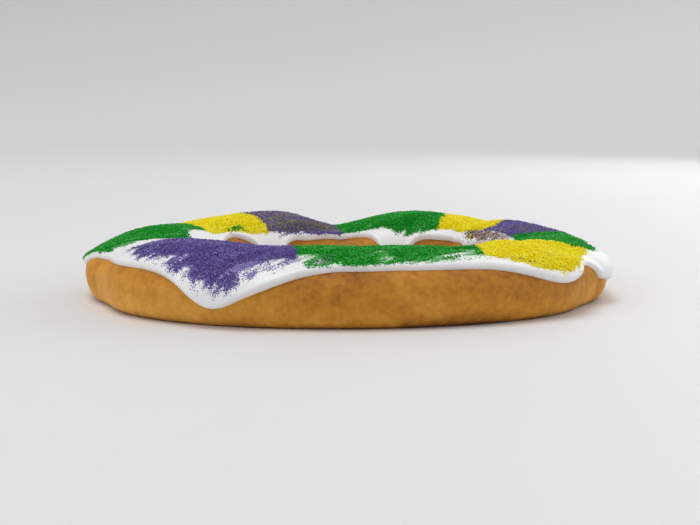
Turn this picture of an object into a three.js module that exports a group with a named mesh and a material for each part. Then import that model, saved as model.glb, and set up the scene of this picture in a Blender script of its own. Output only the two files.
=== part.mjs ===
// A king cake: an oval ring of baked sweet dough, its poured icing and ten bands of coloured sugar.
//
// Millimetres, +Z up. The cake lies on its flat underside with its long way along X, and the origin is
// on the ground under its middle. Two angles in degrees place everything on it:
//   around: round the ring, 0 at the +X end, 90 at the back, 180 at the -X end, 270 at the front (-Y);
//   over: over the dough, 0 half way up its outer wall, 90 on the crest, 180 on the wall of the hole.

import * as THREE from "three";

// ---- Driving dimensions ----

// The bare dough seen from above; the roundness is 2 for a true ellipse and more for a fuller oval.
const RING = { length: 293, width: 232, tube: 72, roundness: 2.15 };

// The dough's section: two half superellipses that meet at its widest level. The lower one would reach
// undercut times that level downwards, and the ground cuts it off flat.
const DOUGH = { height: 34.2, widestLevel: 15, squareness: 2.2, undercut: 1.7 };

// Where the dough was folded or joined, its crest drops and its walls draw in. A rise has a negative drop,
// and a bulge a negative pinch.
const FOLDS = [
  { at: 91.5, drop: 7.5, reach: 16, pinch: 3 },
  { at: 336, drop: 4, reach: 7, pinch: 4 },
  { at: 194, drop: 4, reach: 7, pinch: 4 },
  { at: 0, drop: 4.5, reach: 20, pinch: 0 },
  { at: 33, drop: 2.5, reach: 6.5, pinch: 2 },
  { at: 152, drop: 2, reach: 8, pinch: 2 },
  { at: 272, drop: 1.3, reach: 38, pinch: 0 },
  { at: 118, drop: -2.4, reach: 16, pinch: 0 },
  { at: 60, drop: -1.8, reach: 12, pinch: 0 },
  { at: 178, drop: 4.5, reach: 12.5, pinch: -1.6 },
  { at: 310, drop: 2.7, reach: 16, pinch: 0 },
  { at: 236, drop: 1.2, reach: 13, pinch: 0 },
  { at: 352, drop: 2.5, reach: 12, pinch: 2 },
];

// The icing and its bead, the swollen rim that it ends in, rounded by a lip to each side of its edge. The
// bead's reach, the lip and the edges, where they lie between drips, are angles over.
const ICING = { thickness: 1.8, bead: 0.8, beadReach: 7, lip: 1.6, outerEdge: 26.4, innerEdge: 158 };

// A drip runs down the outer wall by so many degrees over, and by reach degrees to each side of it.
const OUTER_DRIPS = [
  { at: 8, run: 13, reach: 9 },
  { at: 31, run: 27, reach: 10 },
  { at: 57, run: 8, reach: 10 },
  { at: 79, run: 22, reach: 7 },
  { at: 101, run: 11, reach: 9 },
  { at: 127, run: 32, reach: 9 },
  { at: 147, run: 9, reach: 6 },
  { at: 175, run: 24, reach: 12 },
  { at: 202, run: 6, reach: 10 },
  { at: 227.9, run: 9.8, reach: 6.5 },
  { at: 232, run: 24.7, reach: 16.3 },
  { at: 325.3, run: 21.2, reach: 13.5 },
  { at: 344.8, run: 27, reach: 5.4 },
];

// The same on the wall of the hole. Where the icing stops short and leaves the dough bare, the run is
// negative.
const INNER_DRIPS = [
  { at: 22, run: 8, reach: 8 },
  { at: 42, run: 2.5, reach: 12 },
  { at: 63.2, run: 30, reach: 8.5 },
  { at: 88, run: -1.5, reach: 8 },
  { at: 109, run: 3.5, reach: 8 },
  { at: 128.6, run: 26, reach: 8 },
  { at: 146.5, run: -6, reach: 5 },
  { at: 160, run: 5, reach: 6 },
  { at: 187, run: 18, reach: 8 },
  { at: 214, run: 5, reach: 6 },
  { at: 246, run: 10, reach: 13 },
  { at: 281, run: 20, reach: 8 },
  { at: 301, run: 6, reach: 6 },
  { at: 331, run: 10, reach: 12 },
  { at: 353, run: 4, reach: 5 },
];

// One scattered layer of sugar, thinner at its rim; its grains make it uneven. It lies high enough above
// the icing's true surface to clear its facets, and stops margin degrees short of the icing's edges.
const SUGAR = { lift: 0.4, thickness: 0.9, rim: 0.5, unevenness: 0.35, margin: 6.5, seed: 6 };

// The most that a facet's corner strays, in degrees around and over, which leaves the bands' rims ragged.
const RAGGED = { around: 0.45, over: 2.8 };

// Neighbouring solids stay this far apart, and neighbouring bands this many degrees.
const GAP = 0.3;
const BAND_SPACING = 1.4;

// How finely each surface is divided into facets: how many there are, or for a band's columns how wide.
const FACETS = {
  around: 120,
  bareOuter: 5,
  bareInner: 4,
  underIcing: 6,
  icing: 12,
  bandColumn: 3.4,
  bandAcross: 8,
};

const CRUST = { color: 0xab7331, roughness: 0.62, metalness: 0 };
const WHITE = { color: 0xf0eff0, roughness: 0.32, metalness: 0 };
const PURPLE = { color: 0x5a5082, roughness: 0.75, metalness: 0 };
const GREEN = { color: 0x147d25, roughness: 0.75, metalness: 0 };
const YELLOW = { color: 0xe0cd1e, roughness: 0.75, metalness: 0 };

// Each band goes from one angle around to the next, each given at its outer and its inner rim. Its outer
// and inner rims run through evenly spaced angles over.
const BANDS = [
  {
    name: "sugar_purple_front_left",
    material: PURPLE,
    from: [192, 196],
    to: [252, 243],
    outer: [40, 34, 27, 16, 8, 27, 40],
    inner: [108, 121, 127, 123, 126, 119, 124],
  },
  {
    name: "sugar_green_front",
    material: GREEN,
    from: [252, 243],
    to: [307, 314],
    outer: [36, 27, 27.5, 30, 35, 36.5, 43],
    inner: [124, 130, 122, 127, 131, 124, 120],
  },
  {
    name: "sugar_yellow_front_right",
    material: YELLOW,
    from: [307, 314],
    to: [344, 350],
    outer: [42, 28, 18, 12, 18, 22, 30],
    inner: [120, 128, 131, 124, 129, 133, 128],
  },
  {
    name: "sugar_green_right",
    material: GREEN,
    from: [344, 350],
    to: [370, 364],
    outer: [26, 21, 20, 25, 23, 27, 30],
    inner: [130, 136, 137, 140, 143, 142, 140],
  },
  {
    name: "sugar_purple_back_right",
    material: PURPLE,
    from: [10, 4],
    to: [24, 21],
    outer: [30, 25, 22, 20, 19, 22, 26],
    inner: [139, 142, 140, 143, 141, 145, 146],
  },
  {
    name: "sugar_yellow_back_right",
    material: YELLOW,
    from: [24, 21],
    to: [47, 44.5],
    outer: [25, 19, 16, 15, 20, 26, 30],
    inner: [147, 149, 148, 151, 149, 150, 151],
  },
  {
    name: "sugar_green_back_right",
    material: GREEN,
    from: [47, 44.5],
    to: [91, 90],
    outer: [30, 34, 31, 29, 22, 19, 27],
    inner: [154.5, 158, 158, 150, 151.5, 153.7, 156.8],
  },
  {
    name: "sugar_purple_back_left",
    material: PURPLE,
    from: [91, 90],
    to: [131, 129],
    outer: [29, 26, 24, 27, 28, 17, 14],
    inner: [157, 159, 160, 159, 157.5, 155.5, 154.5],
  },
  {
    name: "sugar_yellow_back_left",
    material: YELLOW,
    from: [131, 129],
    to: [152, 156],
    outer: [15, 18, 22, 25, 26, 24, 23],
    inner: [155, 155, 154, 152, 150, 148.5, 146],
  },
  {
    name: "sugar_green_left",
    material: GREEN,
    from: [152, 156],
    to: [190, 176],
    outer: [22, 27, 27, 19, 9, 5, 12],
    inner: [136, 134, 130, 132, 138, 142.5, 142],
  },
];

// ---- The surface of the dough ----

const rad = THREE.MathUtils.degToRad;

// Directions along the surface are measured over this many degrees to each side.
const STEP = 0.1;

// 1 at the angle named at, falling smoothly to nothing a few times reach away.
function bump(around, at, reach) {
  const away = THREE.MathUtils.euclideanModulo(around - at + 180, 360) - 180;
  return Math.exp(-((away / reach) ** 2));
}

function superellipseRadius(angle, halfWidth, halfHeight, exponent) {
  const across = Math.abs(Math.cos(angle) / halfWidth) ** exponent;
  const upward = Math.abs(Math.sin(angle) / halfHeight) ** exponent;
  return (across + upward) ** (-1 / exponent);
}

function centreline(around) {
  const angle = rad(around);
  const halfLength = (RING.length - RING.tube) / 2;
  const halfWidth = (RING.width - RING.tube) / 2;
  const radius = superellipseRadius(angle, halfLength, halfWidth, RING.roundness);
  return new THREE.Vector3(radius * Math.cos(angle), radius * Math.sin(angle), 0);
}

// The dough's half width and crest height, with its folds and rises.
function sectionSize(around) {
  const size = { halfWidth: RING.tube / 2, height: DOUGH.height };
  for (const fold of FOLDS) {
    const share = bump(around, fold.at, fold.reach);
    size.halfWidth -= fold.pinch * share;
    size.height -= fold.drop * share;
  }
  return size;
}

function doughPoint(around, over) {
  const { halfWidth, height } = sectionSize(around);
  const angle = rad(over);
  const rises = Math.sin(angle) >= 0;
  const halfHeight = rises ? height - DOUGH.widestLevel : DOUGH.widestLevel * DOUGH.undercut;
  const radius = superellipseRadius(angle, halfWidth, halfHeight, DOUGH.squareness);
  const along = centreline(around + STEP).sub(centreline(around - STEP)).normalize();
  const outward = new THREE.Vector3(along.y, -along.x, 0);
  const point = centreline(around).addScaledVector(outward, radius * Math.cos(angle));
  point.z = Math.max(DOUGH.widestLevel + radius * Math.sin(angle), 0);
  return point;
}

// The point so far above the dough's surface, along its normal.
function aboveDough(around, over, distance) {
  const along = doughPoint(around + STEP, over).sub(doughPoint(around - STEP, over));
  const across = doughPoint(around, over + STEP).sub(doughPoint(around, over - STEP));
  const normal = along.cross(across).normalize();
  return doughPoint(around, over).addScaledVector(normal, distance);
}

// The angle over at which the outer wall meets the ground; the hole's wall mirrors it.
function groundAngle(around) {
  const depth = 1 / DOUGH.undercut;
  const reach = (1 - depth ** DOUGH.squareness) ** (1 / DOUGH.squareness);
  return -THREE.MathUtils.radToDeg(Math.atan2(DOUGH.widestLevel, sectionSize(around).halfWidth * reach));
}

function dripRun(around, drips) {
  return drips.reduce((run, drip) => run + drip.run * bump(around, drip.at, drip.reach), 0);
}

function icingOuterEdge(around) {
  return ICING.outerEdge - dripRun(around, OUTER_DRIPS);
}

function icingInnerEdge(around) {
  return ICING.innerEdge + dripRun(around, INNER_DRIPS);
}

function icingThickness(around, over) {
  const fromOuter = (over - icingOuterEdge(around)) / ICING.beadReach;
  const fromInner = (icingInnerEdge(around) - over) / ICING.beadReach;
  return ICING.thickness + ICING.bead * (Math.exp(-(fromOuter ** 2)) + Math.exp(-(fromInner ** 2)));
}

// ---- Closed solids ----

// A mesh of four-sided facets, each split along its shorter diagonal, so that two surfaces with matching
// corners split alike.
function solid(points, facets) {
  const triangles = facets.flatMap(([a, b, c, d]) => {
    const split = points[a].distanceTo(points[c]) < points[b].distanceTo(points[d]);
    return split ? [a, b, c, a, c, d] : [b, c, d, b, d, a];
  });
  const geometry = new THREE.BufferGeometry().setFromPoints(points);
  geometry.setIndex(triangles);
  return geometry;
}

// The angle over at a share of the way from start to end, in steps that shorten where the section bends
// most: they are even on the ellipse with the section's width and height.
function between(around, start, end, share) {
  const { halfWidth, height } = sectionSize(around);
  const flatness = halfWidth / (height - DOUGH.widestLevel);
  const onEllipse = (over) => {
    const angle = Math.atan2(flatness * Math.sin(rad(over)), Math.cos(rad(over)));
    return angle < -Math.PI / 2 ? angle + 2 * Math.PI : angle;
  };
  const angle = THREE.MathUtils.lerp(onEllipse(start), onEllipse(end), share);
  const over = Math.atan2(Math.sin(angle), flatness * Math.cos(angle));
  return THREE.MathUtils.radToDeg(over < -Math.PI / 2 ? over + 2 * Math.PI : over);
}

function rows(around, start, end, steps) {
  return Array.from({ length: steps + 1 }, (_, i) => between(around, start, end, i / steps));
}

// A ring swept from one closed loop of points at each angle around it.
function ringSolid(loopAt) {
  const loops = [];
  for (let i = 0; i < FACETS.around; i += 1) loops.push(loopAt((360 * i) / FACETS.around));
  const count = loops[0].length;
  const facets = [];
  loops.forEach((_, i) => {
    const here = i * count;
    const next = ((i + 1) % loops.length) * count;
    for (let j = 0; j < count; j += 1) {
      const k = (j + 1) % count;
      facets.push([here + j, next + j, next + k, here + k]);
    }
  });
  return solid(loops.flat(), facets);
}

function doughRing() {
  return ringSolid((around) => {
    const ground = groundAngle(around);
    const outer = icingOuterEdge(around);
    const inner = icingInnerEdge(around);
    return [
      ...rows(around, ground, outer, FACETS.bareOuter),
      ...rows(around, outer, inner, FACETS.underIcing).slice(1),
      ...rows(around, inner, 180 - ground, FACETS.bareInner).slice(1),
    ].map((over) => doughPoint(around, over));
  });
}

// The icing's loop goes over its top and back along its underside, with a rounded lip at both ends.
function icingShell() {
  const { lip } = ICING;
  return ringSolid((around) => {
    const outer = icingOuterEdge(around);
    const inner = icingInnerEdge(around);
    const place = (over, share) => aboveDough(around, over, GAP + share * icingThickness(around, over));
    const top = rows(around, outer + lip, inner - lip, FACETS.icing).map((over) => place(over, 1));
    const underside = rows(around, inner, outer, FACETS.underIcing).map((over) => place(over, 0));
    return [
      place(outer - lip, 0.25),
      place(outer - lip * 0.6, 0.75),
      ...top,
      place(inner + lip * 0.6, 0.75),
      place(inner + lip, 0.25),
      ...underside,
    ];
  });
}

// A smooth curve through evenly spaced values, read at a share of its length.
function through(values, share) {
  const points = values.map((value, i) => new THREE.Vector2(i / (values.length - 1), value));
  return new THREE.SplineCurve(points).getPoint(share).y;
}

// A repeatable draw between -1 and 1.
function randomDraws(seed) {
  let draws = seed;
  return () => {
    draws += 1;
    return THREE.MathUtils.seededRandom(draws * 7919) * 2 - 1;
  };
}

function sugarBand(band, seed) {
  const draw = randomDraws(seed);
  const columns = Math.round((band.to[0] - band.from[0]) / FACETS.bandColumn);
  const across = FACETS.bandAcross;
  const top = [];
  const bottom = [];
  for (let i = 0; i <= columns; i += 1) {
    for (let j = 0; j <= across; j += 1) {
      const u = i / columns;
      const v = j / across;
      const inset = BAND_SPACING * (0.5 - u);
      const start = THREE.MathUtils.lerp(band.from[0], band.from[1], v);
      const end = THREE.MathUtils.lerp(band.to[0], band.to[1], v);
      const around = THREE.MathUtils.lerp(start, end, u) + inset + RAGGED.around * draw();
      const outer = Math.max(through(band.outer, u), icingOuterEdge(around) + SUGAR.margin);
      const inner = Math.min(through(band.inner, u), icingInnerEdge(around) - SUGAR.margin);
      const over = between(around, outer, inner, v) + RAGGED.over * draw();
      const atRim = i === 0 || j === 0 || i === columns || j === across;
      const height = atRim ? SUGAR.rim : SUGAR.thickness + SUGAR.unevenness * draw();
      const base = GAP + icingThickness(around, over) + SUGAR.lift;
      top.push(aboveDough(around, over, base + height));
      bottom.push(aboveDough(around, over, base));
    }
  }
  return slabSolid(top, bottom, columns, across);
}

// A slab between two grids of points that match, with walls round its rim.
function slabSolid(top, bottom, rows, columns) {
  const facets = [];
  const at = (i, j) => i * (columns + 1) + j;
  const quad = (...corners) => facets.push(corners);
  const below = top.length;
  for (let i = 0; i < rows; i += 1) {
    for (let j = 0; j < columns; j += 1) {
      quad(at(i, j), at(i + 1, j), at(i + 1, j + 1), at(i, j + 1));
      quad(below + at(i, j), below + at(i, j + 1), below + at(i + 1, j + 1), below + at(i + 1, j));
    }
  }
  const rim = [];
  for (let i = 0; i < rows; i += 1) rim.push(at(i, 0));
  for (let j = 0; j < columns; j += 1) rim.push(at(rows, j));
  for (let i = rows; i > 0; i -= 1) rim.push(at(i, columns));
  for (let j = columns; j > 0; j -= 1) rim.push(at(0, j));
  rim.forEach((corner, i) => {
    const next = rim[(i + 1) % rim.length];
    quad(corner, below + corner, below + next, next);
  });
  return solid([...top, ...bottom], facets);
}

// ---- The cake ----

const cake = new THREE.Group();

function add(name, geometry, material) {
  const mesh = new THREE.Mesh(geometry, new THREE.MeshStandardMaterial({ ...material, flatShading: true }));
  mesh.name = name;
  cake.add(mesh);
}

add("dough_ring", doughRing(), CRUST);
add("icing", icingShell(), WHITE);
BANDS.forEach((band, i) => add(band.name, sugarBand(band, SUGAR.seed + 1000 * i), band.material));

// The origin is on the ground under the middle of the finished cake's box.
const middle = new THREE.Box3().setFromObject(cake).getCenter(new THREE.Vector3());
cake.position.set(-middle.x, -middle.y, 0);

export default cake;
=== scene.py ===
"""The looks of a king cake: its baked dough, poured icing and sugar crystals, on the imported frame.

Lengths are in millimetres until a mesh is made. Two angles in degrees place everything on the cake:
around the ring, 0 at the +X end, 90 at the back, 180 at the -X end and 270 at the front, and over the
dough, 0 half way up its outer wall, 90 on the crest and 180 on the wall of the hole.
"""

import itertools
import math

import bpy
import numpy as np
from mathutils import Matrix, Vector


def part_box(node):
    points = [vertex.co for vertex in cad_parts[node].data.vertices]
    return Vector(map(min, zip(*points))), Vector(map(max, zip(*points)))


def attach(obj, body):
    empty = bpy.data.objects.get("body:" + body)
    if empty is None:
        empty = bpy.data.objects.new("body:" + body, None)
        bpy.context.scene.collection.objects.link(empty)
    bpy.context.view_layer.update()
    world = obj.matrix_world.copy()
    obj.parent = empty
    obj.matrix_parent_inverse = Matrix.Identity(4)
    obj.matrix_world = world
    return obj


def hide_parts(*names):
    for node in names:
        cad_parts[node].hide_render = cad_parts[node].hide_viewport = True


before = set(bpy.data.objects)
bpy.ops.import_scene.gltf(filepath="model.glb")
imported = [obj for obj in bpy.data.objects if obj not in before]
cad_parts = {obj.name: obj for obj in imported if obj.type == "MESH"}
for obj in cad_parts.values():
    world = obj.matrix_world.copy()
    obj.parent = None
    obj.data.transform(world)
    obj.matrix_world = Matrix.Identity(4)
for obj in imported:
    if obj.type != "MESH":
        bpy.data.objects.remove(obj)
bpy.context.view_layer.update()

MM = 0.001

# ---- The cake's sizes, as in the solids but for the finest forms ----

RING_LENGTH, RING_WIDTH, TUBE_WIDTH, ROUNDNESS = 293.0, 232.0, 72.0, 2.15
DOUGH_HEIGHT, WIDEST_LEVEL, SQUARENESS, UNDERCUT = 34.2, 15.0, 2.2, 1.7

# Where the dough was folded or joined: (at, drop of the crest, reach in degrees, pinch of the walls). A rise
# has a negative drop, and a bulge a negative pinch.
FOLDS = (
    (91.5, 7.5, 16, 3), (336, 4, 7, 4), (194, 4, 7, 4), (0, 4.5, 20, 0), (33, 2.5, 6.5, 2),
    (152, 2, 8, 2), (272, 1.3, 38, 0), (118, -2.4, 16, 0), (60, -1.8, 12, 0), (178, 4.5, 12.5, -1.6),
    (310, 2.7, 16, 0), (236, 1.2, 13, 0), (352, 2.5, 12, 2),
)

# The icing swells to a bead at its edges and ends a lip beyond them. The bead's reach, the lip and the
# edges between drips are in degrees over. Each drip: (at, run in degrees over, reach in degrees around). A
# negative run draws the edge back.
ICING_THICKNESS, BEAD, BEAD_REACH, LIP = 2.1, 0.8, 7.0, 1.6
OUTER_EDGE, INNER_EDGE = 26.4, 158.0
OUTER_DRIPS = (
    (8, 13, 9), (31, 27, 10), (57, 8, 10), (79, 22, 7), (101, 11, 9), (127, 32, 9), (147, 9, 6),
    (175, 24, 12), (202, 6, 10), (227.9, 9.8, 6.5), (232, 24.7, 16.3), (325.3, 21.2, 13.5),
    (344.8, 27, 5.4), (340.6, 5, 1.6),
)
INNER_DRIPS = (
    (22, 8, 8), (42, 2.5, 12), (63.2, 30, 8.5), (88, -1.5, 8), (109, 3.5, 8), (128.6, 26, 8),
    (146.5, -6, 5), (160, 5, 6), (187, 18, 8), (214, 5, 6), (246, 10, 13), (281, 20, 8), (301, 6, 6),
    (331, 10, 12), (353, 4, 5),
)
# The solids leave out the last outer drip, which is too fine for them, and the point that the outer edge
# comes to beside it: where it is around, how far it draws the edge back, and its reach, in degrees.
NOTCH_AT, NOTCH_RISE, NOTCH_REACH = 337.1, 3.0, 1.8

# Each band of sugar: its node, its colour, where it starts and ends around at its outer and its inner
# rim, its outer and inner rims over, and how softly its two rims fade out, in millimetres.
BANDS = (
    ("sugar_purple_front_left", "purple", (192, 196), (252, 243),
     (40, 34, 27, 16, 8, 27, 40), (108, 121, 127, 123, 126, 119, 124), (6, 9)),
    ("sugar_green_front", "green", (252, 243), (307, 314),
     (28, 23, 24, 28, 33, 36, 43), (124, 130, 122, 127, 131, 124, 120), (8, 9)),
    ("sugar_yellow_front_right", "yellow", (307, 314), (344, 350),
     (42, 28, 17, 11, 17, 21.5, 30), (120, 128, 131, 124, 129, 133, 128), (4, 5)),
    ("sugar_green_right", "green", (344, 350), (370, 364),
     (26, 21, 20, 25, 23, 27, 30), (130, 136, 137, 140, 143, 142, 140), (2, 4)),
    ("sugar_purple_back_right", "purple", (10, 4), (24, 21),
     (30, 25, 22, 20, 19, 22, 26), (139, 142, 140, 143, 141, 145, 146), (4, 3)),
    ("sugar_yellow_back_right", "yellow", (24, 21), (47, 44.5),
     (25, 19, 16, 15, 20, 26, 30), (147, 149, 148, 151, 149, 150, 151), (3, 2)),
    ("sugar_green_back_right", "green", (47, 44.5), (91, 90),
     (30, 34, 31, 29, 22, 19, 27), (154.5, 158, 158, 150, 151.5, 153.7, 156.8), (5, 3)),
    ("sugar_purple_back_left", "purple", (91, 90), (131, 129),
     (29, 26, 24, 27, 28, 17, 14), (157, 159, 160, 159, 157.5, 155.5, 154.5), (4, 3)),
    ("sugar_yellow_back_left", "yellow", (131, 129), (152, 156),
     (15, 18, 22, 25, 26, 24, 23), (155, 155, 154, 152, 150, 148.5, 146), (3, 2)),
    ("sugar_green_left", "green", (152, 156), (190, 176),
     (22, 27, 27, 19, 9, 5, 12), (136, 134, 130, 132, 138, 142.5, 142), (4, 2.5)),
)

# Base colours, linear.
SUGAR_COLOURS = {
    "purple": (0.155, 0.11, 0.39), "green": (0.001, 0.36, 0.016), "yellow": (0.97, 0.83, 0.003),
    "dusk": (0.215, 0.19, 0.215), "rose": (0.55, 0.42, 0.40), "russet": (0.22, 0.10, 0.05),
    "khaki": (0.27, 0.235, 0.13), "slate": (0.13, 0.22, 0.15), "lilac": (0.26, 0.22, 0.45),
}
CRUST_PALE, CRUST_GOLD = (0.84, 0.43, 0.075), (0.60, 0.258, 0.026)
CRUST_BROWN, CRUST_DARK = (0.33, 0.118, 0.010), (0.17, 0.050, 0.005)
ICING_WHITE, FLOOR_GREY = (0.87, 0.87, 0.875), (0.77, 0.77, 0.775)


# ---- The surface of the dough ----

# Directions along the surface are measured over this many degrees to each side.
RUN_STEP, NORMAL_STEP = 0.05, 0.2


def bump(around, at, reach):
    """1 at the angle named at, falling smoothly to nothing a few times reach away."""
    away = (around - at + 180) % 360 - 180
    return np.exp(-((away / reach) ** 2))


def superellipse_radius(angle, half_width, half_height, exponent):
    across = np.abs(np.cos(angle) / half_width) ** exponent
    upward = np.abs(np.sin(angle) / half_height) ** exponent
    return (across + upward) ** (-1 / exponent)


def centreline(around):
    angle = np.radians(around)
    radius = superellipse_radius(
        angle, (RING_LENGTH - TUBE_WIDTH) / 2, (RING_WIDTH - TUBE_WIDTH) / 2, ROUNDNESS
    )
    return np.stack([radius * np.cos(angle), radius * np.sin(angle), 0 * radius], -1)


def section_size(around):
    """The dough's half width and crest height, with its folds and rises."""
    half_width = TUBE_WIDTH / 2 + 0 * around
    height = DOUGH_HEIGHT + 0 * around
    for at, drop, reach, pinch in FOLDS:
        share = bump(around, at, reach)
        half_width = half_width - pinch * share
        height = height - drop * share
    return half_width, height


def unit(vectors):
    return vectors / np.linalg.norm(vectors, axis=-1, keepdims=True)


def smooth_dough(around, over):
    """Points on the dough before its relief."""
    half_width, height = section_size(around)
    angle = np.radians(over)
    rise = np.where(np.sin(angle) >= 0, height - WIDEST_LEVEL, WIDEST_LEVEL * UNDERCUT)
    radius = superellipse_radius(angle, half_width, rise, SQUARENESS)
    along = unit(centreline(around + RUN_STEP) - centreline(around - RUN_STEP))
    outward = np.stack([along[..., 1], -along[..., 0], 0 * radius], -1)
    points = centreline(around) + outward * (radius * np.cos(angle))[..., None]
    points[..., 2] = np.maximum(WIDEST_LEVEL + radius * np.sin(angle), 0)
    return points


def dough_normals(around, over):
    along = smooth_dough(around + NORMAL_STEP, over) - smooth_dough(around - NORMAL_STEP, over)
    across = smooth_dough(around, over + NORMAL_STEP) - smooth_dough(around, over - NORMAL_STEP)
    return unit(np.cross(along, across))


def ground_angle(around):
    """The angle over at which the outer wall meets the ground; the hole's wall mirrors it."""
    reach = (1 - UNDERCUT**-SQUARENESS) ** (1 / SQUARENESS)
    return -np.degrees(np.arctan2(WIDEST_LEVEL, section_size(around)[0] * reach))


def drip_run(around, drips):
    return sum(run * bump(around, at, reach) for at, run, reach in drips)


def icing_edges(around):
    """The angles over of the icing's outer and inner edges."""
    away = np.abs((around - NOTCH_AT + 180) % 360 - 180)
    outer = OUTER_EDGE - drip_run(around, OUTER_DRIPS) + NOTCH_RISE * np.exp(-away / NOTCH_REACH)
    return outer, INNER_EDGE + drip_run(around, INNER_DRIPS)


def between(around, start, end, share):
    """The angle over at a share of the way from start to end, in shorter steps where the section bends."""
    half_width, height = section_size(around)
    flatness = half_width / (height - WIDEST_LEVEL)

    def unwrapped(angle):
        return np.where(angle < -np.pi / 2, angle + 2 * np.pi, angle)

    def on_ellipse(over):
        return unwrapped(np.arctan2(flatness * np.sin(np.radians(over)), np.cos(np.radians(over))))

    angle = on_ellipse(start) * (1 - share) + on_ellipse(end) * share
    return np.degrees(unwrapped(np.arctan2(np.sin(angle), flatness * np.cos(angle))))


# ---- Repeatable noise ----

# Large odd numbers that scatter neighbouring cells, and the range of what they draw.
CELL_FACTORS, SEED_FACTOR, MIXING_FACTOR = (73856093, 19349663, 83492791), 2654435, 1274126177
DRAWN_BITS, HALF_DRAWN = 0xFFFF, 0x7FFF
SEED_SHIFT = 7.31  # how many cells the noise of one seed lies from the next


def noise(points, size, seed):
    """Smooth values from -1 to 1 at points, with lumps about size across."""
    place = points / size + SEED_SHIFT * seed
    cell = np.floor(place).astype(np.int64)
    part = place - cell
    part = part * part * (3 - 2 * part)
    total = 0.0
    for corner in itertools.product((0, 1), repeat=3):
        x, y, z = np.moveaxis((cell + np.array(corner)) * np.array(CELL_FACTORS), -1, 0)
        drawn = x ^ y ^ z ^ (seed * SEED_FACTOR)
        drawn = (drawn ^ (drawn >> 13)) * MIXING_FACTOR
        drawn = (drawn ^ (drawn >> 16)) & DRAWN_BITS
        weight = np.prod(np.where(np.array(corner) == 1, part, 1 - part), -1)
        total = total + weight * (drawn / HALF_DRAWN - 1)
    return total


def layered_noise(points, size, layers, seed):
    """Noise with finer and fainter layers added."""
    total = 0.0
    for layer in range(layers):
        total = total + noise(points, size / 2**layer, seed + layer) / 2**layer
    return total / (2 - 2 ** (1 - layers))


def scaled_noise(points, strength, size, layers, seed):
    """Layered noise times a strength. Tables of such noise give these four numbers in this order."""
    return strength * layered_noise(points, size, layers, seed)


def smoothstep(low, high, value):
    part = np.clip((value - low) / (high - low), 0, 1)
    return part * part * (3 - 2 * part)


# ---- Meshes ----

SOLID_COLUMNS = 120  # how many facets the solids have around


def find_shift():
    """Where the solids' frame puts the ring's middle: the frame's origin is under the middle of the box."""
    low, high = (np.array(corner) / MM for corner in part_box("dough_ring"))
    lowest, rows = -20, 111
    columns = np.arange(SOLID_COLUMNS) * 360.0 / SOLID_COLUMNS
    around, over = np.meshgrid(columns, np.linspace(lowest, 180 - lowest, rows), indexing="ij")
    points = smooth_dough(around, over).reshape(-1, 3)
    place = (low + high) / 2 - (points.min(0) + points.max(0)) / 2
    return np.array([place[0], place[1], 0.0])


shift = find_shift()


def mesh_object(name, points, quads, smooth=True):
    """A mesh of four-sided faces, from millimetres about the ring's middle."""
    mesh = bpy.data.meshes.new(name)
    mesh.vertices.add(len(points))
    mesh.vertices.foreach_set("co", ((points + shift) * MM).astype(np.float32).ravel())
    mesh.loops.add(quads.size)
    mesh.loops.foreach_set("vertex_index", quads.astype(np.int32).ravel())
    mesh.polygons.add(len(quads))
    mesh.polygons.foreach_set("loop_start", np.arange(0, quads.size, 4, dtype=np.int32))
    mesh.update(calc_edges=True)
    mesh.validate()
    mesh.polygons.foreach_set("use_smooth", np.full(len(quads), smooth))
    piece = bpy.data.objects.new(name, mesh)
    bpy.context.scene.collection.objects.link(piece)
    return piece


def ring_quads(columns, rows):
    """Faces of a ring whose every column is a closed loop of rows points."""
    i, j = np.meshgrid(np.arange(columns), np.arange(rows), indexing="ij")
    here, beside, above = i * rows, (i + 1) % columns * rows, (j + 1) % rows
    return np.stack([here + j, beside + j, beside + above, here + above], -1).reshape(-1, 4)


STRIPS = 2  # a ring's UV map is cut into this many strips, so that its faces keep their proportions
STRIP_MARGIN = 0.012  # the space left round each strip, as a share of its sides


def map_ring(piece, columns, rows):
    """A UV map of a ring piece's faces, in the order of ring_quads."""
    i, j = np.meshgrid(np.arange(columns), np.arange(rows), indexing="ij")
    in_strip = columns // STRIPS
    strip, column = i // in_strip, i % in_strip
    spread = 1 - 2 * STRIP_MARGIN
    u = [STRIP_MARGIN + spread * (column + step) / in_strip for step in (0, 1, 1, 0)]
    v = [(strip + STRIP_MARGIN + spread * (j + step) / rows) / STRIPS for step in (0, 0, 1, 1)]
    places = np.stack([np.stack(u, -1), np.stack(v, -1)], -1)
    layer = piece.data.uv_layers.new(name="OFBake")
    layer.data.foreach_set("uv", places.astype(np.float32).ravel())


def set_attribute(piece, name, values):
    """A colour, with or without alpha, on each point of the piece, which its material reads."""
    layer = piece.data.color_attributes.new(name, "FLOAT_COLOR", "POINT")
    rgba = np.ones((len(piece.data.vertices), 4), np.float32)
    rgba[:, : values.shape[1]] = values
    layer.data.foreach_set("color", rgba.ravel())


COLUMNS = 600  # how many steps the dough and the icing take around
around_all = np.arange(COLUMNS) * 360.0 / COLUMNS


# ---- The baked dough ----

# Grooves where the folded dough closed: (at, depth, reach in degrees).
CREASES = (
    (341.5, 1.3, 1.5), (334.5, 0.6, 1.3), (195, 0.5, 1.6), (190.5, 0.9, 1.3), (91.5, 0.5, 3),
    (33, 0.6, 2.0),
)
# The dough's lumps, dimples and pores, as scaled noise: (depth, size, layers, seed).
RELIEF = ((0.8, 42, 3, 3), (0.3, 13, 2, 7), (0.13, 4.5, 2, 11))
RELIEF_HEIGHT = 6.0  # the relief grows from nothing at the ground to full at this height
BASE_ROUNDING = 2.6  # the radius of the dough's foot
WALL_ROWS, UNDERSIDE_ROWS = 140, 8


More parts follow.
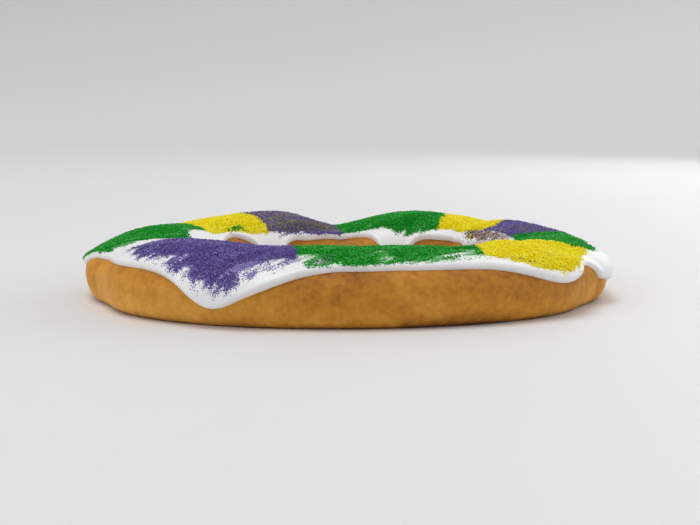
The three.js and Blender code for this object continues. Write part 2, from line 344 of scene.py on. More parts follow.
def relief(points, around):
    """How far the baked dough stands out of its smooth form."""
    uneven = sum(scaled_noise(points, *layer) for layer in RELIEF)
    grooves = sum(depth * bump(around, at, reach) for at, depth, reach in CREASES)
    return (uneven - grooves) * smoothstep(0, RELIEF_HEIGHT, points[..., 2])


def raised_dough(around, over, height):
    """The dough's surface with its relief, raised by height along its normal."""
    points = smooth_dough(around, over)
    rise = relief(points, around) + height
    return points + dough_normals(around, over) * rise[..., None]


def baked_dough():
    around, share = np.meshgrid(around_all, np.linspace(0, 1, WALL_ROWS), indexing="ij")
    ground = ground_angle(around)
    over = between(around, ground, 180 - ground, share)
    wall = raised_dough(around, over, 0 * over)
    # Near the ground the wall draws in towards the middle of the section, which rounds its foot.
    middle = centreline(around)
    inward = unit(middle[..., :2] - wall[..., :2])
    low = np.clip(1 - wall[..., 2] / BASE_ROUNDING, 0, 1)
    wall[..., :2] += inward * (BASE_ROUNDING * (1 - np.sqrt(1 - low**2)))[..., None]
    wall[..., 2] = np.maximum(wall[..., 2], 0)
    wall[:, (0, -1), 2] = 0
    part = np.linspace(0, 1, UNDERSIDE_ROWS + 2)[None, 1:-1, None]
    underside = wall[:, -1:] * (1 - part) + wall[:, :1] * part
    underside[..., 2] = 0
    points = np.concatenate([wall, underside], 1)
    rows = points.shape[1]
    piece = mesh_object("baked_dough", points.reshape(-1, 3), ring_quads(COLUMNS, rows))
    map_ring(piece, COLUMNS, rows)
    # The crust's browning, with painted light and shade in it, for its material to read.
    set_attribute(piece, "browning_and_painted_light", browning_and_painted_light_of(points, around[:, :1]).reshape(-1, 1) * np.ones(3))
    piece.data.materials.append(crust_material())
    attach(piece, "root")
    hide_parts("dough_ring")


# What browns the crust or pales it, from a middling tone: how much, and the heights between which it comes
# or goes. It is browner up by the icing, partly from baking and partly as painted shade under the icing's
# edge and against the light from above; darker at its very foot, partly from baking and partly as painted
# contact shade; paler low down, partly paler dough and partly painted light thrown up from the ground; and
# paler to the left, where x is least, as painted light from that side.
MIDDLING = 0.5
BY_ICING, BY_ICING_HEIGHTS = 0.2, (13, 27)
LOW_DOWN, LOW_DOWN_HEIGHTS = -0.2, (3, 15)
FOOT, FOOT_HEIGHTS = 0.2, (0, 4)
PAINTED_LEFT_LIGHT, PAINTED_LEFT_LIGHT_REACH = -0.2, (30, 140)  # how far left of the ring's middle it starts and is full
# Where the foot browned most: (at, reach in degrees, how much).
BROWN_FEET = (
    (235, 5, 0.15), (281, 4, 0.25), (291, 8, 0.4), (304, 6, 0.25), (20, 12, 0.3), (110, 9, 0.35),
    (165, 8, 0.3),
)
BROWN_FEET_HEIGHTS = (1, 11)
# How much darker a crease is for each millimetre of its depth, and how many times its reach that goes.
IN_CREASES, CREASE_SPREAD = 0.12, 1.3
# Patches of browning, and faint upright streaks where the dough was stretched, as scaled noise.
PATCHES, STREAKS = (0.2, 30, 4, 21), (0.07, 6, 3, 31)
STREAK_STRETCH = np.array([1, 1, 0.25])


def browning_and_painted_light_of(points, around):
    """How brown the crust is, with painted light and shade mixed in, from 0 pale to 1 dark."""
    height = points[..., 2]
    # Browner by the icing, partly painted shade; paler low down, partly painted light from below.
    upper = BY_ICING * smoothstep(*BY_ICING_HEIGHTS, height)
    upper = upper + LOW_DOWN * (1 - smoothstep(*LOW_DOWN_HEIGHTS, height))
    # Darker at the very foot, partly browning and partly painted contact shade.
    foot = FOOT * (1 - smoothstep(*FOOT_HEIGHTS, height))
    for at, reach, strength in BROWN_FEET:
        foot = foot + strength * bump(around, at, reach) * (1 - smoothstep(*BROWN_FEET_HEIGHTS, height))
    creases = sum(depth * bump(around, at, CREASE_SPREAD * reach) for at, depth, reach in CREASES)
    patches = scaled_noise(points, *PATCHES)
    streaked = scaled_noise(points * STREAK_STRETCH, *STREAKS)
    # Paler to the left as painted light from that side.
    left = PAINTED_LEFT_LIGHT * smoothstep(*PAINTED_LEFT_LIGHT_REACH, -points[..., 0])
    return np.clip(MIDDLING + upper + foot + IN_CREASES * creases + patches + streaked + left, 0, 1)


# ---- The icing ----

LIP_RADIUS = 2.7  # how far in from its edge the icing reaches its full thickness
SUNK = 0.4  # its underside lies this far inside the dough, so that no gap shows
SWELLING_RUN = 60  # a drip that ran this many degrees down has a bead of twice the usual height
NOTCH_THINNING, THINNING_REACH = 0.45, 2.4  # at its point the icing is thinner by this share
UNEVENNESS = (0.22, 24, 2, 41)  # how its top rises and falls, as scaled noise
UNDERSIDE_STEPS = 14


def icing_rise(points, around, over):
    """How far the icing's top lies above the dough."""
    outer, inner = icing_edges(around)
    swelling = 1 + drip_run(around, OUTER_DRIPS) / SWELLING_RUN
    thinning = 1 - NOTCH_THINNING * bump(around, NOTCH_AT, THINNING_REACH)
    bead = BEAD * (swelling * np.exp(-(((over - outer) / BEAD_REACH) ** 2))
                   + np.exp(-(((inner - over) / BEAD_REACH) ** 2)))
    return (ICING_THICKNESS + bead) * thinning + scaled_noise(points, *UNEVENNESS)


def rows_over_icing():
    """Angles over at which the icing's top is drawn, in even steps but for its rounded edges, and how far in
    from its edge each one lies."""
    edge_steps, top_steps, fine = 8, 84, 400
    outer, inner = icing_edges(around_all)
    start, end = outer - LIP, inner + LIP
    turn = LIP_RADIUS * (1 - np.cos(np.linspace(0, np.pi / 2, edge_steps + 1)))
    rows = []
    for column, around in enumerate(around_all):
        over = between(around, start[column], end[column], np.linspace(0, 1, fine))
        steps = np.linalg.norm(np.diff(smooth_dough(around + 0 * over, over), axis=0), axis=1)
        length = np.concatenate([[0], np.cumsum(steps)])
        full = length[-1]
        middle = np.linspace(LIP_RADIUS, full - LIP_RADIUS, top_steps + 1)[1:-1]
        wanted = np.concatenate([turn, middle, full - turn[::-1]])
        rows.append((np.interp(wanted, length, over), np.minimum(wanted, full - wanted)))
    over, from_edge = (np.array(part) for part in zip(*rows))
    return over, from_edge


def icing_top():
    """The icing's top as a grid of points, with the angles around and over of each."""
    over, from_edge = rows_over_icing()
    around = np.repeat(around_all[:, None], over.shape[1], 1)
    base = smooth_dough(around, over)
    lip = np.sqrt(np.clip(1 - (1 - np.minimum(from_edge / LIP_RADIUS, 1)) ** 2, 0, 1))
    rise = icing_rise(base, around, over) * lip - SUNK * (1 - lip)
    return raised_dough(around, over, rise), around, over


def icing_coat(top, around, over):
    share = np.linspace(1, 0, UNDERSIDE_STEPS + 2)[None, 1:-1]
    column = around[:, :1] + 0 * share
    beneath = between(column, over[:, :1] + 0 * share, over[:, -1:] + 0 * share, share)
    underside = raised_dough(column, beneath, -SUNK + 0 * share)
    points = np.concatenate([top, underside], 1)
    piece = mesh_object("icing_coat", points.reshape(-1, 3), ring_quads(COLUMNS, points.shape[1]))
    map_ring(piece, COLUMNS, points.shape[1])
    dust = np.zeros((*points.shape[:2], 4))
    dust[:, : top.shape[1]] = sugar_dust(top, around, over)
    set_attribute(piece, "dust", dust.reshape(-1, 4))
    piece.data.materials.append(icing_material())
    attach(piece, "root")
    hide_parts("icing")


# ---- Where the sugar lies ----

# About how long a degree is over the dough and around the ring.
MM_PER_DEGREE_OVER, MM_PER_DEGREE_AROUND = 0.6, 2.2
BORDER_LEVELS = (25, 145)  # the angles over at which a border of two bands has its two given ends
MINGLING = (4.0, 14, 4, 51)  # how many degrees a border wanders, as scaled noise
DUST_SOFTNESS = 2.2  # the finest sugar spreads wider than the crystals
DUST_FULL = 0.75  # the cover from which it hides all of the icing
# The sugar was strewn in sweeps that all ran one way, seen from above, and left streaks: how many times
# longer and taller than wide they are, how wide they are in a band, and their layers of noise.
SWEEP_DIRECTION, SWEEP_LENGTH, SWEEP_HEIGHT, SWEEP_WIDTH = math.radians(38), 7.0, 2, 2.4
SWEEP_LAYERS = 3
# A rim strays in lumps (how far, their size, layers of noise) and in sweeps, and less if its fade is short.
RAGGED_LUMPS, RAGGED_SWEEPS, SHORT_FADE = (0.9, 8, 4), 2.8, 5
THIN_STREAKS, FULL_STREAKS = 0.7, 0.05  # how strongly sweeps show where the sugar is thin, and anywhere
EDGE_FADE = (-0.2, 1.4)  # how far from the icing's edge the sugar begins and is full
# Seeds of the noise: the first band's, the step to the next band's, and how far on a band's sweeps are.
BAND_SEED, BAND_SEED_STEP, SWEEP_SEED_STEP = 60, 5, 3

# Places where the sugar is thin and the icing shows through: around, over, length and width in
# millimetres, direction in degrees from the ring's run, and how much is gone.
THIN_PLACES = (
    (190, 62, 14, 26, 0, 0.6), (200, 41, 14, 4.5, 5, 0.6), (199, 56, 12, 3.0, 12, 0.45),
    (206, 68, 10, 3.0, 15, 0.4), (211, 50, 7, 2.4, 15, 0.5), (214, 76, 9, 2.4, 15, 0.45),
    (212, 92, 18, 8.0, 5, 0.5), (218.2, 33.5, 7, 3.2, 35, 0.95), (214, 27, 10, 4.0, -30, 0.6),
    (222, 19, 8, 3.2, -38, 0.75), (231, 21, 4, 1.8, 60, 0.35), (236.5, 25, 8, 5.0, 35, 0.95),
    (243, 30.5, 9, 3.8, 15, 0.85), (250, 46, 6, 3.0, 20, 0.5), (252.5, 38, 9, 7.0, 20, 0.9),
    (258, 31, 7, 4.0, 0, 0.6), (263, 40, 6, 2.6, 20, 0.5), (275.5, 42, 7, 8.0, 80, 0.85),
    (276, 60, 9, 6.0, 80, 0.7), (268, 34, 7, 3.0, 0, 0.55), (302, 48, 9, 7.0, 0, 0.85),
    (305, 78, 7, 15.0, 0, 0.7), (295, 43, 8, 4.0, 10, 0.65), (288, 41, 6, 2.6, 10, 0.5),
)

# Smudges of another colour in a band: the band, the colour, then a place as above.
SMUDGES = (
    ("sugar_yellow_back_left", "green", (142.5, 145, 6.5, 3, 0, 1.0)),
    ("sugar_purple_back_left", "khaki", (118, 138, 16, 7.5, 0, 0.55)),
    ("sugar_purple_front_left", "lilac", (199, 60, 20, 14, 10, 0.8)),
    ("sugar_purple_front_left", "lilac", (214, 86, 24, 7, 0, 0.6)),
    ("sugar_purple_front_left", "lilac", (238, 34, 14, 3.5, 20, 0.6)),
    ("sugar_green_front", "slate", (256.5, 34, 6, 3.4, 30, 0.9)),
    ("sugar_yellow_front_right", "dusk", (315.4, 27.0, 4.5, 1.0, -35, 0.5)),
)


def spline_through(values, share):
    """A smooth curve through evenly spaced values, read at shares of its length."""
    values = np.array(values, float)
    place = np.clip(share, 0, 1) * (len(values) - 1)
    cell = np.minimum(place.astype(int), len(values) - 2)
    part = place - cell
    before, start, end, after = (values[np.clip(cell + k, 0, len(values) - 1)] for k in (-1, 0, 1, 2))
    slope, slope_after = (end - before) / 2, (after - start) / 2
    square, cube = part**2, part**3
    return ((2 * cube - 3 * square + 1) * start + (cube - 2 * square + part) * slope
            + (3 * square - 2 * cube) * end + (cube - square) * slope_after)


def near_place(around, over, at, level, length, width, direction, strength):
    """The strength of a place, fading out around it."""
    right = ((around - at + 180) % 360 - 180) * MM_PER_DEGREE_AROUND
    up = (over - level) * MM_PER_DEGREE_OVER
    turn = math.radians(direction)
    along = (right * math.cos(turn) + up * math.sin(turn)) / length
    across = (up * math.cos(turn) - right * math.sin(turn)) / width
    return strength * np.exp(-(along**2) - across**2)


def streaks(points, size, seed):
    """Noise drawn out along the sweeps."""
    turn = SWEEP_DIRECTION
    along = points[..., 0] * math.cos(turn) + points[..., 1] * math.sin(turn)
    across = points[..., 1] * math.cos(turn) - points[..., 0] * math.sin(turn)
    drawn_out = np.stack([along / SWEEP_LENGTH, across, points[..., 2] / SWEEP_HEIGHT], -1)
    return layered_noise(drawn_out, size, SWEEP_LAYERS, seed)


def rim_cover(distance, fade, softness, ragged):
    """The cover at a distance inside a band's rim, where the sugar fades out."""
    strayed = distance + ragged * min(1, fade / SHORT_FADE)
    half = 0.5 * softness * fade
    return smoothstep(-half, half, strayed)


def band_cover(band, around, over, points, softness=1.0):
    """How densely a band's sugar covers each point, from 0 to 1. Softness widens its fades and fills its
    thin places."""
    _, _, begins, ends, outer_rim, inner_rim, (fade_out, fade_in) = band
    seed = BAND_SEED + BAND_SEED_STEP * BANDS.index(band)
    way = np.clip((over - BORDER_LEVELS[0]) / (BORDER_LEVELS[1] - BORDER_LEVELS[0]), 0, 1)
    start = begins[0] * (1 - way) + begins[1] * way
    width = ends[0] * (1 - way) + ends[1] * way - start
    # One wobble for all bands, so that neighbours still meet where it bends their border.
    wobble = scaled_noise(points, *MINGLING)
    into = (around + wobble - start + 90) % 360 - 90
    share = into / width
    sweeps = streaks(points, SWEEP_WIDTH, seed + SWEEP_SEED_STEP)
    ragged = scaled_noise(points, *RAGGED_LUMPS, seed) + RAGGED_SWEEPS * sweeps
    from_outer = (over - spline_through(outer_rim, share)) * MM_PER_DEGREE_OVER
    from_inner = (spline_through(inner_rim, share) - over) * MM_PER_DEGREE_OVER
    cover = rim_cover(from_outer, fade_out, softness, ragged)
    cover = cover * rim_cover(from_inner, fade_in, softness, ragged)
    for place in THIN_PLACES:
        cover = cover * (1 - near_place(around, over, *place) / softness)
    thin = 4 * cover * (1 - cover)
    cover = np.clip(cover + THIN_STREAKS * sweeps * thin + FULL_STREAKS * sweeps, 0, 1)
    outer, inner = icing_edges(around)
    from_edge = np.minimum(over - outer, inner - over) * MM_PER_DEGREE_OVER
    return cover * smoothstep(*EDGE_FADE, from_edge) * ((share >= 0) & (share < 1))


def sugar_dust(points, around, over):
    """The colour of the finest sugar on the icing, and as alpha how much of the icing it hides."""
    dust = np.zeros((*around.shape, 4))
    for band in BANDS:
        hides = smoothstep(0, DUST_FULL, band_cover(band, around, over, points, DUST_SOFTNESS))[..., None]
        colour = np.array(SUGAR_COLOURS[band[1]]) + 0 * points
        for node_name, smudge, place in SMUDGES:
            if node_name == band[0]:
                share = near_place(around, over, *place)[..., None]
                colour = colour * (1 - share) + np.array(SUGAR_COLOURS[smudge]) * share
        dust[..., :3] += colour * hides
        dust[..., 3:] += hides
    slightest = 1e-6  # so that bare icing isn't divided by 0
    dust[..., :3] /= np.maximum(dust[..., 3:], slightest)
    return dust


# ---- Sugar crystals ----

CRYSTAL_SIZES = (0.36, 0.68)
SIDE_SHARES, CORNER_STRAY = (0.75, 1.2), 0.09  # how a crystal's sides and corners stray from a cube's
CRYSTAL_LIFT = 0.6  # how high its middle may lie, as a share of its size
CRYSTALS_PER_MM2 = 2.7
BARE, FULL = 0.3, 1.0  # the cover from which crystals lie, and at which they lie as closely as can be
MOUND = 0.5  # how much higher crystals lie where they are heaped
GRAIN_STRAY = 1.0  # how far crystals lie from where their band has them
STRAY_SHARE, STRAY_REACH = 0.008, 3.0  # a few lie further off

# Crystals differ in depth of colour: their shades' names, brightness, whiteness and shares. The most
# whitened shade stands for the sugar's sparkle as a painted glint. Yellow ones differ less.
SHADES = (
    ("deep", 0.72, 0, 0.27), ("full", 1, 0, 0.43),
    ("bright", 1.25, 0.02, 0.24), ("painted_glint", 1.2, 0.16, 0.06),
)
SHADE_CONTRAST = {"yellow": 0.3}
# How strongly crystals of one shade or colour lie together, in drifts of a width.
SHADE_DRIFTS, COLOUR_DRIFTS, DRIFT_WIDTH = 0.6, 0.8, 5
SCATTER_SEED, SHADE_SEED, COLOUR_SEED = 2027, 77, 91

# Bands that other colours mingle in, and the share of each.
MINGLED = {
    "sugar_purple_back_left": {"dusk": 0.55, "khaki": 0.1},
    "sugar_purple_back_right": {"dusk": 0.2},
}

# Where several colours ran together by the hole: (around, over), reach in degrees, how closely and how
# heaped they lie, and their shares.
MIXED_PLACE, MIXED_REACH = (14.5, 153.5), (12.5, 9.0)
MIXED_CLOSENESS, MIXED_HEAP = 1.1, 0.3
MIXED_SHARES = {"rose": 0.4, "russet": 0.27, "dusk": 0.3, "yellow": 0.03}


def scatter_on(top, around, over, count, draws):
    """Points spread evenly over the icing, with their normals and angles."""
    corners = top[:, :-1], np.roll(top, -1, 0)[:, :-1], top[:, 1:], np.roll(top, -1, 0)[:, 1:]
    normals = np.cross(corners[1] - corners[0], corners[2] - corners[0])
    areas = np.linalg.norm(normals, axis=-1)
    total = np.cumsum(areas.ravel())
    cell = np.searchsorted(total, draws.random(count) * total[-1])
    i, j = np.unravel_index(cell, areas.shape)
    u, v = draws.random((2, count, 1))
    a, b, c, d = (corner[i, j] for corner in corners)
    points = (a * (1 - u) + b * u) * (1 - v) + (c * (1 - u) + d * u) * v
    here_around = around[i, 0] + u[:, 0] * 360 / COLUMNS
    here_over = over[i, j] * (1 - v[:, 0]) + over[i, j + 1] * v[:, 0]
    return points, unit(normals[i, j]), here_around, here_over


def turns(draws, count):
    """Random rotations, one matrix each."""
    q = unit(draws.normal(size=(count, 4)))
    w, x, y, z = q.T
    return np.stack([
        1 - 2 * (y * y + z * z), 2 * (x * y - z * w), 2 * (x * z + y * w),
        2 * (x * y + z * w), 1 - 2 * (x * x + z * z), 2 * (y * z - x * w),
        2 * (x * z - y * w), 2 * (y * z + x * w), 1 - 2 * (x * x + y * y),
    ], -1).reshape(-1, 3, 3)


CUBE_CORNERS = np.array(list(itertools.product((-0.5, 0.5), repeat=3)))
CUBE_FACES = np.array([(0, 1, 3, 2), (4, 6, 7, 5), (0, 4, 5, 1), (2, 3, 7, 6), (0, 2, 6, 4), (1, 5, 7, 3)])


def in_drifts(points, draws, strength, shares, seed):
    """A kind for each point, in the given shares, with points of one kind drifted together."""
    lot = draws.random(len(points)) + strength * streaks(points, DRIFT_WIDTH, seed)
    order = np.argsort(np.argsort(lot)) / len(points)
    return np.searchsorted(np.cumsum(shares)[:-1], order)


def crystals(name, points, normals, heaped, draws, mixture, replaced=None, smudged=()):
    """One mesh of small blocky crystals. mixture gives the share of each colour, and smudged has pairs of
    a colour and each crystal's chance of it."""
    count = len(points)
    sizes = draws.uniform(*CRYSTAL_SIZES, (count, 1, 1)) * draws.uniform(*SIDE_SHARES, (count, 1, 3))
    corners = CUBE_CORNERS + draws.uniform(-CORNER_STRAY, CORNER_STRAY, (count, *CUBE_CORNERS.shape))
    shapes = np.einsum("nij,nkj->nki", turns(draws, count), corners * sizes)
    lift = draws.uniform(0, CRYSTAL_LIFT, count) * sizes.mean((1, 2))
    height = lift + MOUND * heaped * draws.random(count)
    middles = points + normals * height[:, None]
    quads = (CUBE_FACES + len(CUBE_CORNERS) * np.arange(count)[:, None, None]).reshape(-1, 4)
    piece = mesh_object(name, (shapes + middles[:, None]).reshape(-1, 3), quads, smooth=False)
    colours, shares = list(mixture), list(mixture.values())
    colour = in_drifts(points, draws, COLOUR_DRIFTS, shares, COLOUR_SEED)
    for smudge, chance in smudged:
        colour[draws.random(count) < chance] = len(colours)
        colours.append(smudge)
    for made_of, (shade_name, brightness, whiteness, _) in itertools.product(colours, SHADES):
        piece.data.materials.append(sugar_material(made_of, shade_name, brightness, whiteness))
    shade = in_drifts(points, draws, SHADE_DRIFTS, [share for *_, share in SHADES], SHADE_SEED)
    chosen = colour * len(SHADES) + shade
    piece.data.polygons.foreach_set("material_index", np.repeat(chosen, len(CUBE_FACES)).astype(np.int32))
    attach(piece, "root")
    if replaced:
        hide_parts(replaced)


def sugar_bands(top, around, over):
    draws = np.random.default_rng(SCATTER_SEED)
    sides = np.roll(top, -1, 0)[:, :-1] - top[:, :-1], top[:, 1:] - top[:, :-1]
    area = np.linalg.norm(np.cross(*sides), axis=-1).sum()
    points, normals, at, level = scatter_on(top, around, over, int(area * CRYSTALS_PER_MM2), draws)
    count = len(points)
    # A crystal belongs to the band that lies a little way off, so that the bands mingle.
    reach = np.where(draws.random(count) < STRAY_SHARE, STRAY_REACH, GRAIN_STRAY)
    away = draws.normal(size=(count, 2)) * reach[:, None]
    from_at = at + away[:, 0] / MM_PER_DEGREE_AROUND
    from_level = level + away[:, 1] / MM_PER_DEGREE_OVER
    source = smooth_dough(from_at, from_level)
    outer, inner = icing_edges(at)
    on_icing = (level > outer) & (level < inner)
    lot = draws.random(count)
    for band in BANDS:
        node_name, colour = band[:2]
        cover = band_cover(band, from_at, from_level, source)
        closeness = smoothstep(BARE, FULL, cover) ** 2
        chosen = on_icing & (lot < closeness)
        others = MINGLED.get(node_name, {})
        mixture = {colour: 1 - sum(others.values()), **others}
        smudged = [(smudge, near_place(at[chosen], level[chosen], *place))
                   for name, smudge, place in SMUDGES if name == node_name]
        crystals("crystals" + node_name.removeprefix("sugar"), points[chosen], normals[chosen],
                 closeness[chosen], draws, mixture, node_name, smudged)
    centre, extent = np.array(MIXED_PLACE), np.array(MIXED_REACH)
    off = (np.stack([(at + 180) % 360 - 180, level], -1) - centre) / extent
    chosen = on_icing & (draws.random(count) < MIXED_CLOSENESS * np.exp(-((off**2).sum(-1) ** 2)))
    crystals("crystals_mixed", points[chosen], normals[chosen], MIXED_HEAP, draws, MIXED_SHARES)


# ---- Materials ----


def new_material(name):
    material = bpy.data.materials.new(name)
    material.use_nodes = True
    tree = material.node_tree
    return material, tree, tree.nodes["Principled BSDF"]


def node(tree, kind, inputs=None, **settings):
    made = tree.nodes.new(kind)
    for key, value in settings.items():
        setattr(made, key, value)
    for key, value in (inputs or {}).items():
        if isinstance(value, bpy.types.NodeSocket):
            tree.links.new(value, made.inputs[key])
        else:
            made.inputs[key].default_value = value
    return made


def noise_node(tree, scale, detail=4.0, roughness=0.55, stretch=(1, 1, 1)):
    """Noise fixed to the object, with lumps about 1 / scale metres across."""
    place = node(tree, "ShaderNodeTexCoord").outputs["Object"]
    mapping = node(tree, "ShaderNodeMapping", {"Vector": place, "Scale": stretch})
    inputs = {"Vector": mapping.outputs[0], "Scale": scale, "Detail": detail, "Roughness": roughness}
    return node(tree, "ShaderNodeTexNoise", inputs).outputs["Fac"]


def math_node(tree, operation, *values):
    return node(tree, "ShaderNodeMath", dict(enumerate(values)), operation=operation).outputs[0]


def varied(tree, noise_value, least, spread):
    """Noise from 0 to 1 made to go from least up to spread above it."""
    return math_node(tree, "MULTIPLY_ADD", noise_value, spread, least)


def mottled(tree, tone, noise_value, strength):
    """A tone made darker or paler by noise from 0 to 1."""
    centred = math_node(tree, "SUBTRACT", noise_value, 0.5)
    return math_node(tree, "MULTIPLY_ADD", centred, strength, tone)


def ramp_node(tree, value, stops):
    ramp = node(tree, "ShaderNodeValToRGB", {"Fac": value})
    elements = ramp.color_ramp.elements
    while len(elements) < len(stops):
        elements.new(0.5)
    for element, (position, colour) in zip(elements, stops):
        element.position, element.color = position, (*colour, 1)
    return ramp.outputs[0]


# The crust's tones, each with the browning at which it is reached.
CRUST_TONES = ((0.05, CRUST_PALE), (0.45, CRUST_GOLD), (0.78, CRUST_BROWN), (1.0, CRUST_DARK))
# The crust's mottling, and last its faint upright streaks where the dough stretched as it rose: lumps per
# metre, detail, the scale along each axis, and how strong they are.
EVEN, UPRIGHT = (1, 1, 1), (1, 1, 0.18)
MOTTLING = ((60, 3, EVEN, 0.3), (150, 4, EVEN, 0.4), (380, 4, EVEN, 0.4), (330, 3, UPRIGHT, 0.1))
# Freckles where small bubbles browned first: the cells per metre that may have one, a freckle's radius in
# cells, the share of cells that have none, and how strong it is.
FRECKLE_CELLS, FRECKLE_RADIUS, UNFRECKLED, FRECKLE_STRENGTH = 210.0, 0.16, 0.75, 0.1
DIMPLES_TO_PORES = 2.4  # how many times deeper the crust's fine dimples are than its pores


def crust_material():
    material, tree, shader = new_material("baked_crust")
    # The crust's browning, with painted light and shade in it.
    tone = node(tree, "ShaderNodeVertexColor", layer_name="browning_and_painted_light").outputs["Color"]
    for scale, detail, stretch, strength in MOTTLING:
        tone = mottled(tree, tone, noise_node(tree, scale, detail, stretch=stretch), strength)
    place = node(tree, "ShaderNodeTexCoord").outputs["Object"]
    cells = node(tree, "ShaderNodeTexVoronoi", {"Vector": place, "Scale": FRECKLE_CELLS})
    near = math_node(tree, "LESS_THAN", cells.outputs["Distance"], FRECKLE_RADIUS)
    drawn = node(tree, "ShaderNodeSeparateColor", {"Color": cells.outputs["Color"]}).outputs[0]
    freckle = math_node(tree, "MULTIPLY", near, math_node(tree, "GREATER_THAN", drawn, UNFRECKLED))
    tone = math_node(tree, "MULTIPLY_ADD", freckle, FRECKLE_STRENGTH, tone)
    tree.links.new(ramp_node(tree, tone, CRUST_TONES), shader.inputs["Base Color"])
    shader.inputs["Specular IOR Level"].default_value = 0.22
    roughness = varied(tree, noise_node(tree, scale=95, detail=4), least=0.46, spread=0.25)
    tree.links.new(roughness, shader.inputs["Roughness"])
    dimples = noise_node(tree, scale=260, detail=5, roughness=0.6)
    pores = noise_node(tree, scale=1000, detail=4)
    height = math_node(tree, "MULTIPLY_ADD", dimples, DIMPLES_TO_PORES, pores)
    bumped = node(tree, "ShaderNodeBump", {"Height": height, "Strength": 0.5, "Distance": 0.0005})
    tree.links.new(bumped.outputs[0], shader.inputs["Normal"])
    return material


DUST_GRAINS_PER_M = 2300.0  # each about 0.4 mm across
FIRST_COLOUR, SECOND_COLOUR, MIXED_COLOUR = 6, 7, 2  # sockets of a mix node


def icing_material():
    material, tree, shader = new_material("white_icing")
    cloud = noise_node(tree, scale=130, detail=4)
    value = varied(tree, cloud, least=0.965, spread=0.06)
    white = node(tree, "ShaderNodeHueSaturation", {"Color": (*ICING_WHITE, 1), "Value": value})
    # The finest sugar is a pattern of grains, each of which shows where the dust there is thick enough.
    dust = node(tree, "ShaderNodeVertexColor", layer_name="dust")
    place = node(tree, "ShaderNodeTexCoord").outputs["Object"]
    grains = node(tree, "ShaderNodeTexVoronoi", {"Vector": place, "Scale": DUST_GRAINS_PER_M})
    drawn = node(tree, "ShaderNodeSeparateColor", {"Color": grains.outputs["Color"]})
    shows = math_node(tree, "LESS_THAN", drawn.outputs[0], dust.outputs["Alpha"])
    # Each grain is deeper or paler at random, and on the whole darker than the dust's colour, as painted
    # shade like that between crystals.
    depth = varied(tree, drawn.outputs[1], least=0.45, spread=0.8)
    grain = node(tree, "ShaderNodeHueSaturation", {"Color": dust.outputs["Color"], "Value": depth})
    coat = node(tree, "ShaderNodeMix", data_type="RGBA")
    tree.links.new(shows, coat.inputs["Factor"])
    tree.links.new(white.outputs[0], coat.inputs[FIRST_COLOUR])
    tree.links.new(grain.outputs[0], coat.inputs[SECOND_COLOUR])
    tree.links.new(coat.outputs[MIXED_COLOUR], shader.inputs["Base Color"])
    shader.inputs["Subsurface Weight"].default_value = 0.15
    shader.inputs["Subsurface Radius"].default_value = (0.0020, 0.0018, 0.0016)
    shader.inputs["Subsurface Scale"].default_value = 1.0
    shader.inputs["Specular IOR Level"].default_value = 0.4
    roughness = varied(tree, cloud, least=0.28, spread=0.2)
    tree.links.new(roughness, shader.inputs["Roughness"])
    ripple = noise_node(tree, scale=260, detail=3)
    bumped = node(tree, "ShaderNodeBump", {"Height": ripple, "Strength": 0.15, "Distance": 0.0004})
    tree.links.new(bumped.outputs[0], shader.inputs["Normal"])
    return material


BRIGHTEST, WHITE_MIX = 0.97, 0.85  # how bright sugar can be, and the white that whitens it


def sugar_material(colour, shade, brightness, whiteness):
    name = f"sugar_{colour}_{shade}"
    if name in bpy.data.materials:
        return bpy.data.materials[name]
    material, _, shader = new_material(name)
    brightness = 1 + (brightness - 1) * SHADE_CONTRAST.get(colour, 1)
    base = np.clip(np.array(SUGAR_COLOURS[colour]) * brightness, 0, BRIGHTEST)
    # Whitening pales a crystal; the most whitened shade is a painted glint.
    base = base * (1 - whiteness) + WHITE_MIX * whiteness
    shader.inputs["Base Color"].default_value = (*base, 1)
    shader.inputs["Roughness"].default_value = 0.4
    shader.inputs["Specular IOR Level"].default_value = 0.16
    return material


def floor_material():
    material, tree, shader = new_material("pale_floor")
    value = varied(tree, noise_node(tree, scale=3, detail=3), least=0.99, spread=0.02)
    shaded = node(tree, "ShaderNodeHueSaturation", {"Color": (*FLOOR_GREY, 1), "Value": value})
    tree.links.new(shaded.outputs[0], shader.inputs["Base Color"])
    shader.inputs["Roughness"].default_value = 0.6
    return material


# ---- Stage, light and camera ----

CAMERA_PLACE = np.array([-53.1, -651.9, 107.2])  # from the middle of the ring, on the ground
CAMERA_TARGET = np.array([0.0, 0.0, 17.0])
FOCAL_SHARE = 1.66  # the lens's focal length in widths of the frame
SENSOR_MM = 36.0

SUN_STRENGTH, SUN_SPREAD, SUN_DIRECTION = 1.15, math.radians(32), Vector((0.2, -0.04, -0.97))
# Soft windows that face the cake: name, place and size in metres, and watts.
WINDOWS = (
    ("left_window", (-1.3, -0.6, 0.9), (0.7, 0.5), 4),
    ("back_window", (1.0, 1.0, 0.7), (1.2, 0.8), 5),
    ("right_window", (1.5, -0.15, 0.6), (0.7, 0.5), 3),
)
WINDOWS_FACE = Vector((0, 0, 0.02))
ROOM_GLOW = 0.48


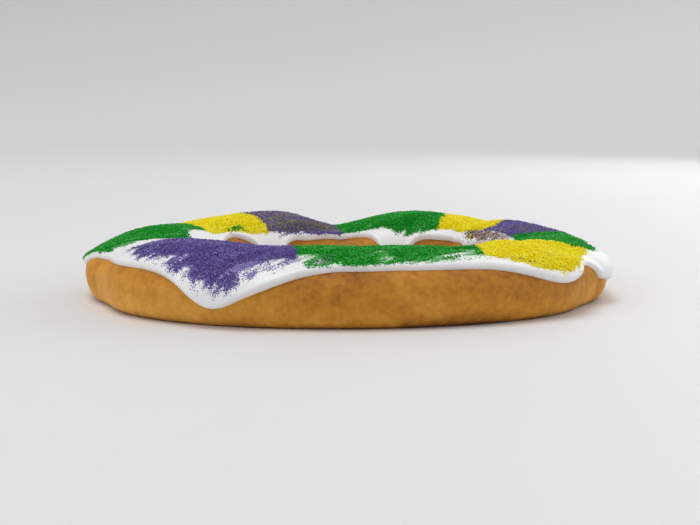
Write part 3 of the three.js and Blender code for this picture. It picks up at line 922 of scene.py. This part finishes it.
def floor():
    """A pale round floor that sweeps up into a wall far behind every side of the cake."""
    flat, bend, sides, bend_steps = 2600.0, 1800.0, 96, 14
    turns_up = np.linspace(0, math.pi / 2, bend_steps)
    profile = [(0.0, 0.0), (400.0, 0.0), (1200.0, 0.0)]
    profile += [(flat + bend * math.sin(turn), bend * (1 - math.cos(turn))) for turn in turns_up]
    profile.append((flat + bend, 2 * bend))
    radius, height = np.array(profile).T
    angles = np.arange(sides) * 2 * np.pi / sides
    points = np.stack([np.cos(angles)[:, None] * radius, np.sin(angles)[:, None] * radius,
                       height + 0 * angles[:, None]], -1)
    rows = len(profile)
    i, j = np.meshgrid(np.arange(sides), np.arange(rows - 1), indexing="ij")
    here, beside = i * rows + j, (i + 1) % sides * rows + j
    quads = np.stack([here, here + 1, beside + 1, beside], -1).reshape(-1, 4)
    piece = mesh_object("floor", points.reshape(-1, 3), quads)
    piece.data.materials.append(floor_material())


def soft_light(name, place, size, watts):
    lamp = bpy.data.lights.new(name, "AREA")
    lamp.shape = "RECTANGLE"
    lamp.size, lamp.size_y = size
    lamp.energy = watts
    holder = bpy.data.objects.new(name, lamp)
    holder.location = place
    holder.rotation_euler = (WINDOWS_FACE - Vector(place)).to_track_quat("-Z", "Y").to_euler()
    bpy.context.scene.collection.objects.link(holder)


def lights():
    sun = bpy.data.lights.new("high_light", "SUN")
    sun.energy, sun.angle = SUN_STRENGTH, SUN_SPREAD
    holder = bpy.data.objects.new("high_light", sun)
    holder.rotation_euler = SUN_DIRECTION.to_track_quat("-Z", "Y").to_euler()
    bpy.context.scene.collection.objects.link(holder)
    for window in WINDOWS:
        soft_light(*window)
    world = bpy.data.worlds.new("studio")
    world.use_nodes = True
    background = world.node_tree.nodes["Background"]
    background.inputs["Color"].default_value = (1, 1, 1, 1)
    background.inputs["Strength"].default_value = ROOM_GLOW
    bpy.context.scene.world = world


def camera():
    data = bpy.data.cameras.new("camera")
    data.sensor_width = SENSOR_MM
    data.lens = FOCAL_SHARE * SENSOR_MM
    data.clip_start, data.clip_end = 0.01, 50
    holder = bpy.data.objects.new("camera", data)
    place, target = ((point + shift) * MM for point in (CAMERA_PLACE, CAMERA_TARGET))
    holder.location = place
    holder.rotation_euler = Vector(target - place).to_track_quat("-Z", "Y").to_euler()
    bpy.context.scene.collection.objects.link(holder)
    bpy.context.scene.camera = holder
    bpy.context.scene.view_settings.view_transform = "Standard"


# ---- The cake ----


camera()
lights()
floor()
baked_dough()
top_points, top_around, top_over = icing_top()
icing_coat(top_points, top_around, top_over)
sugar_bands(top_points, top_around, top_over)
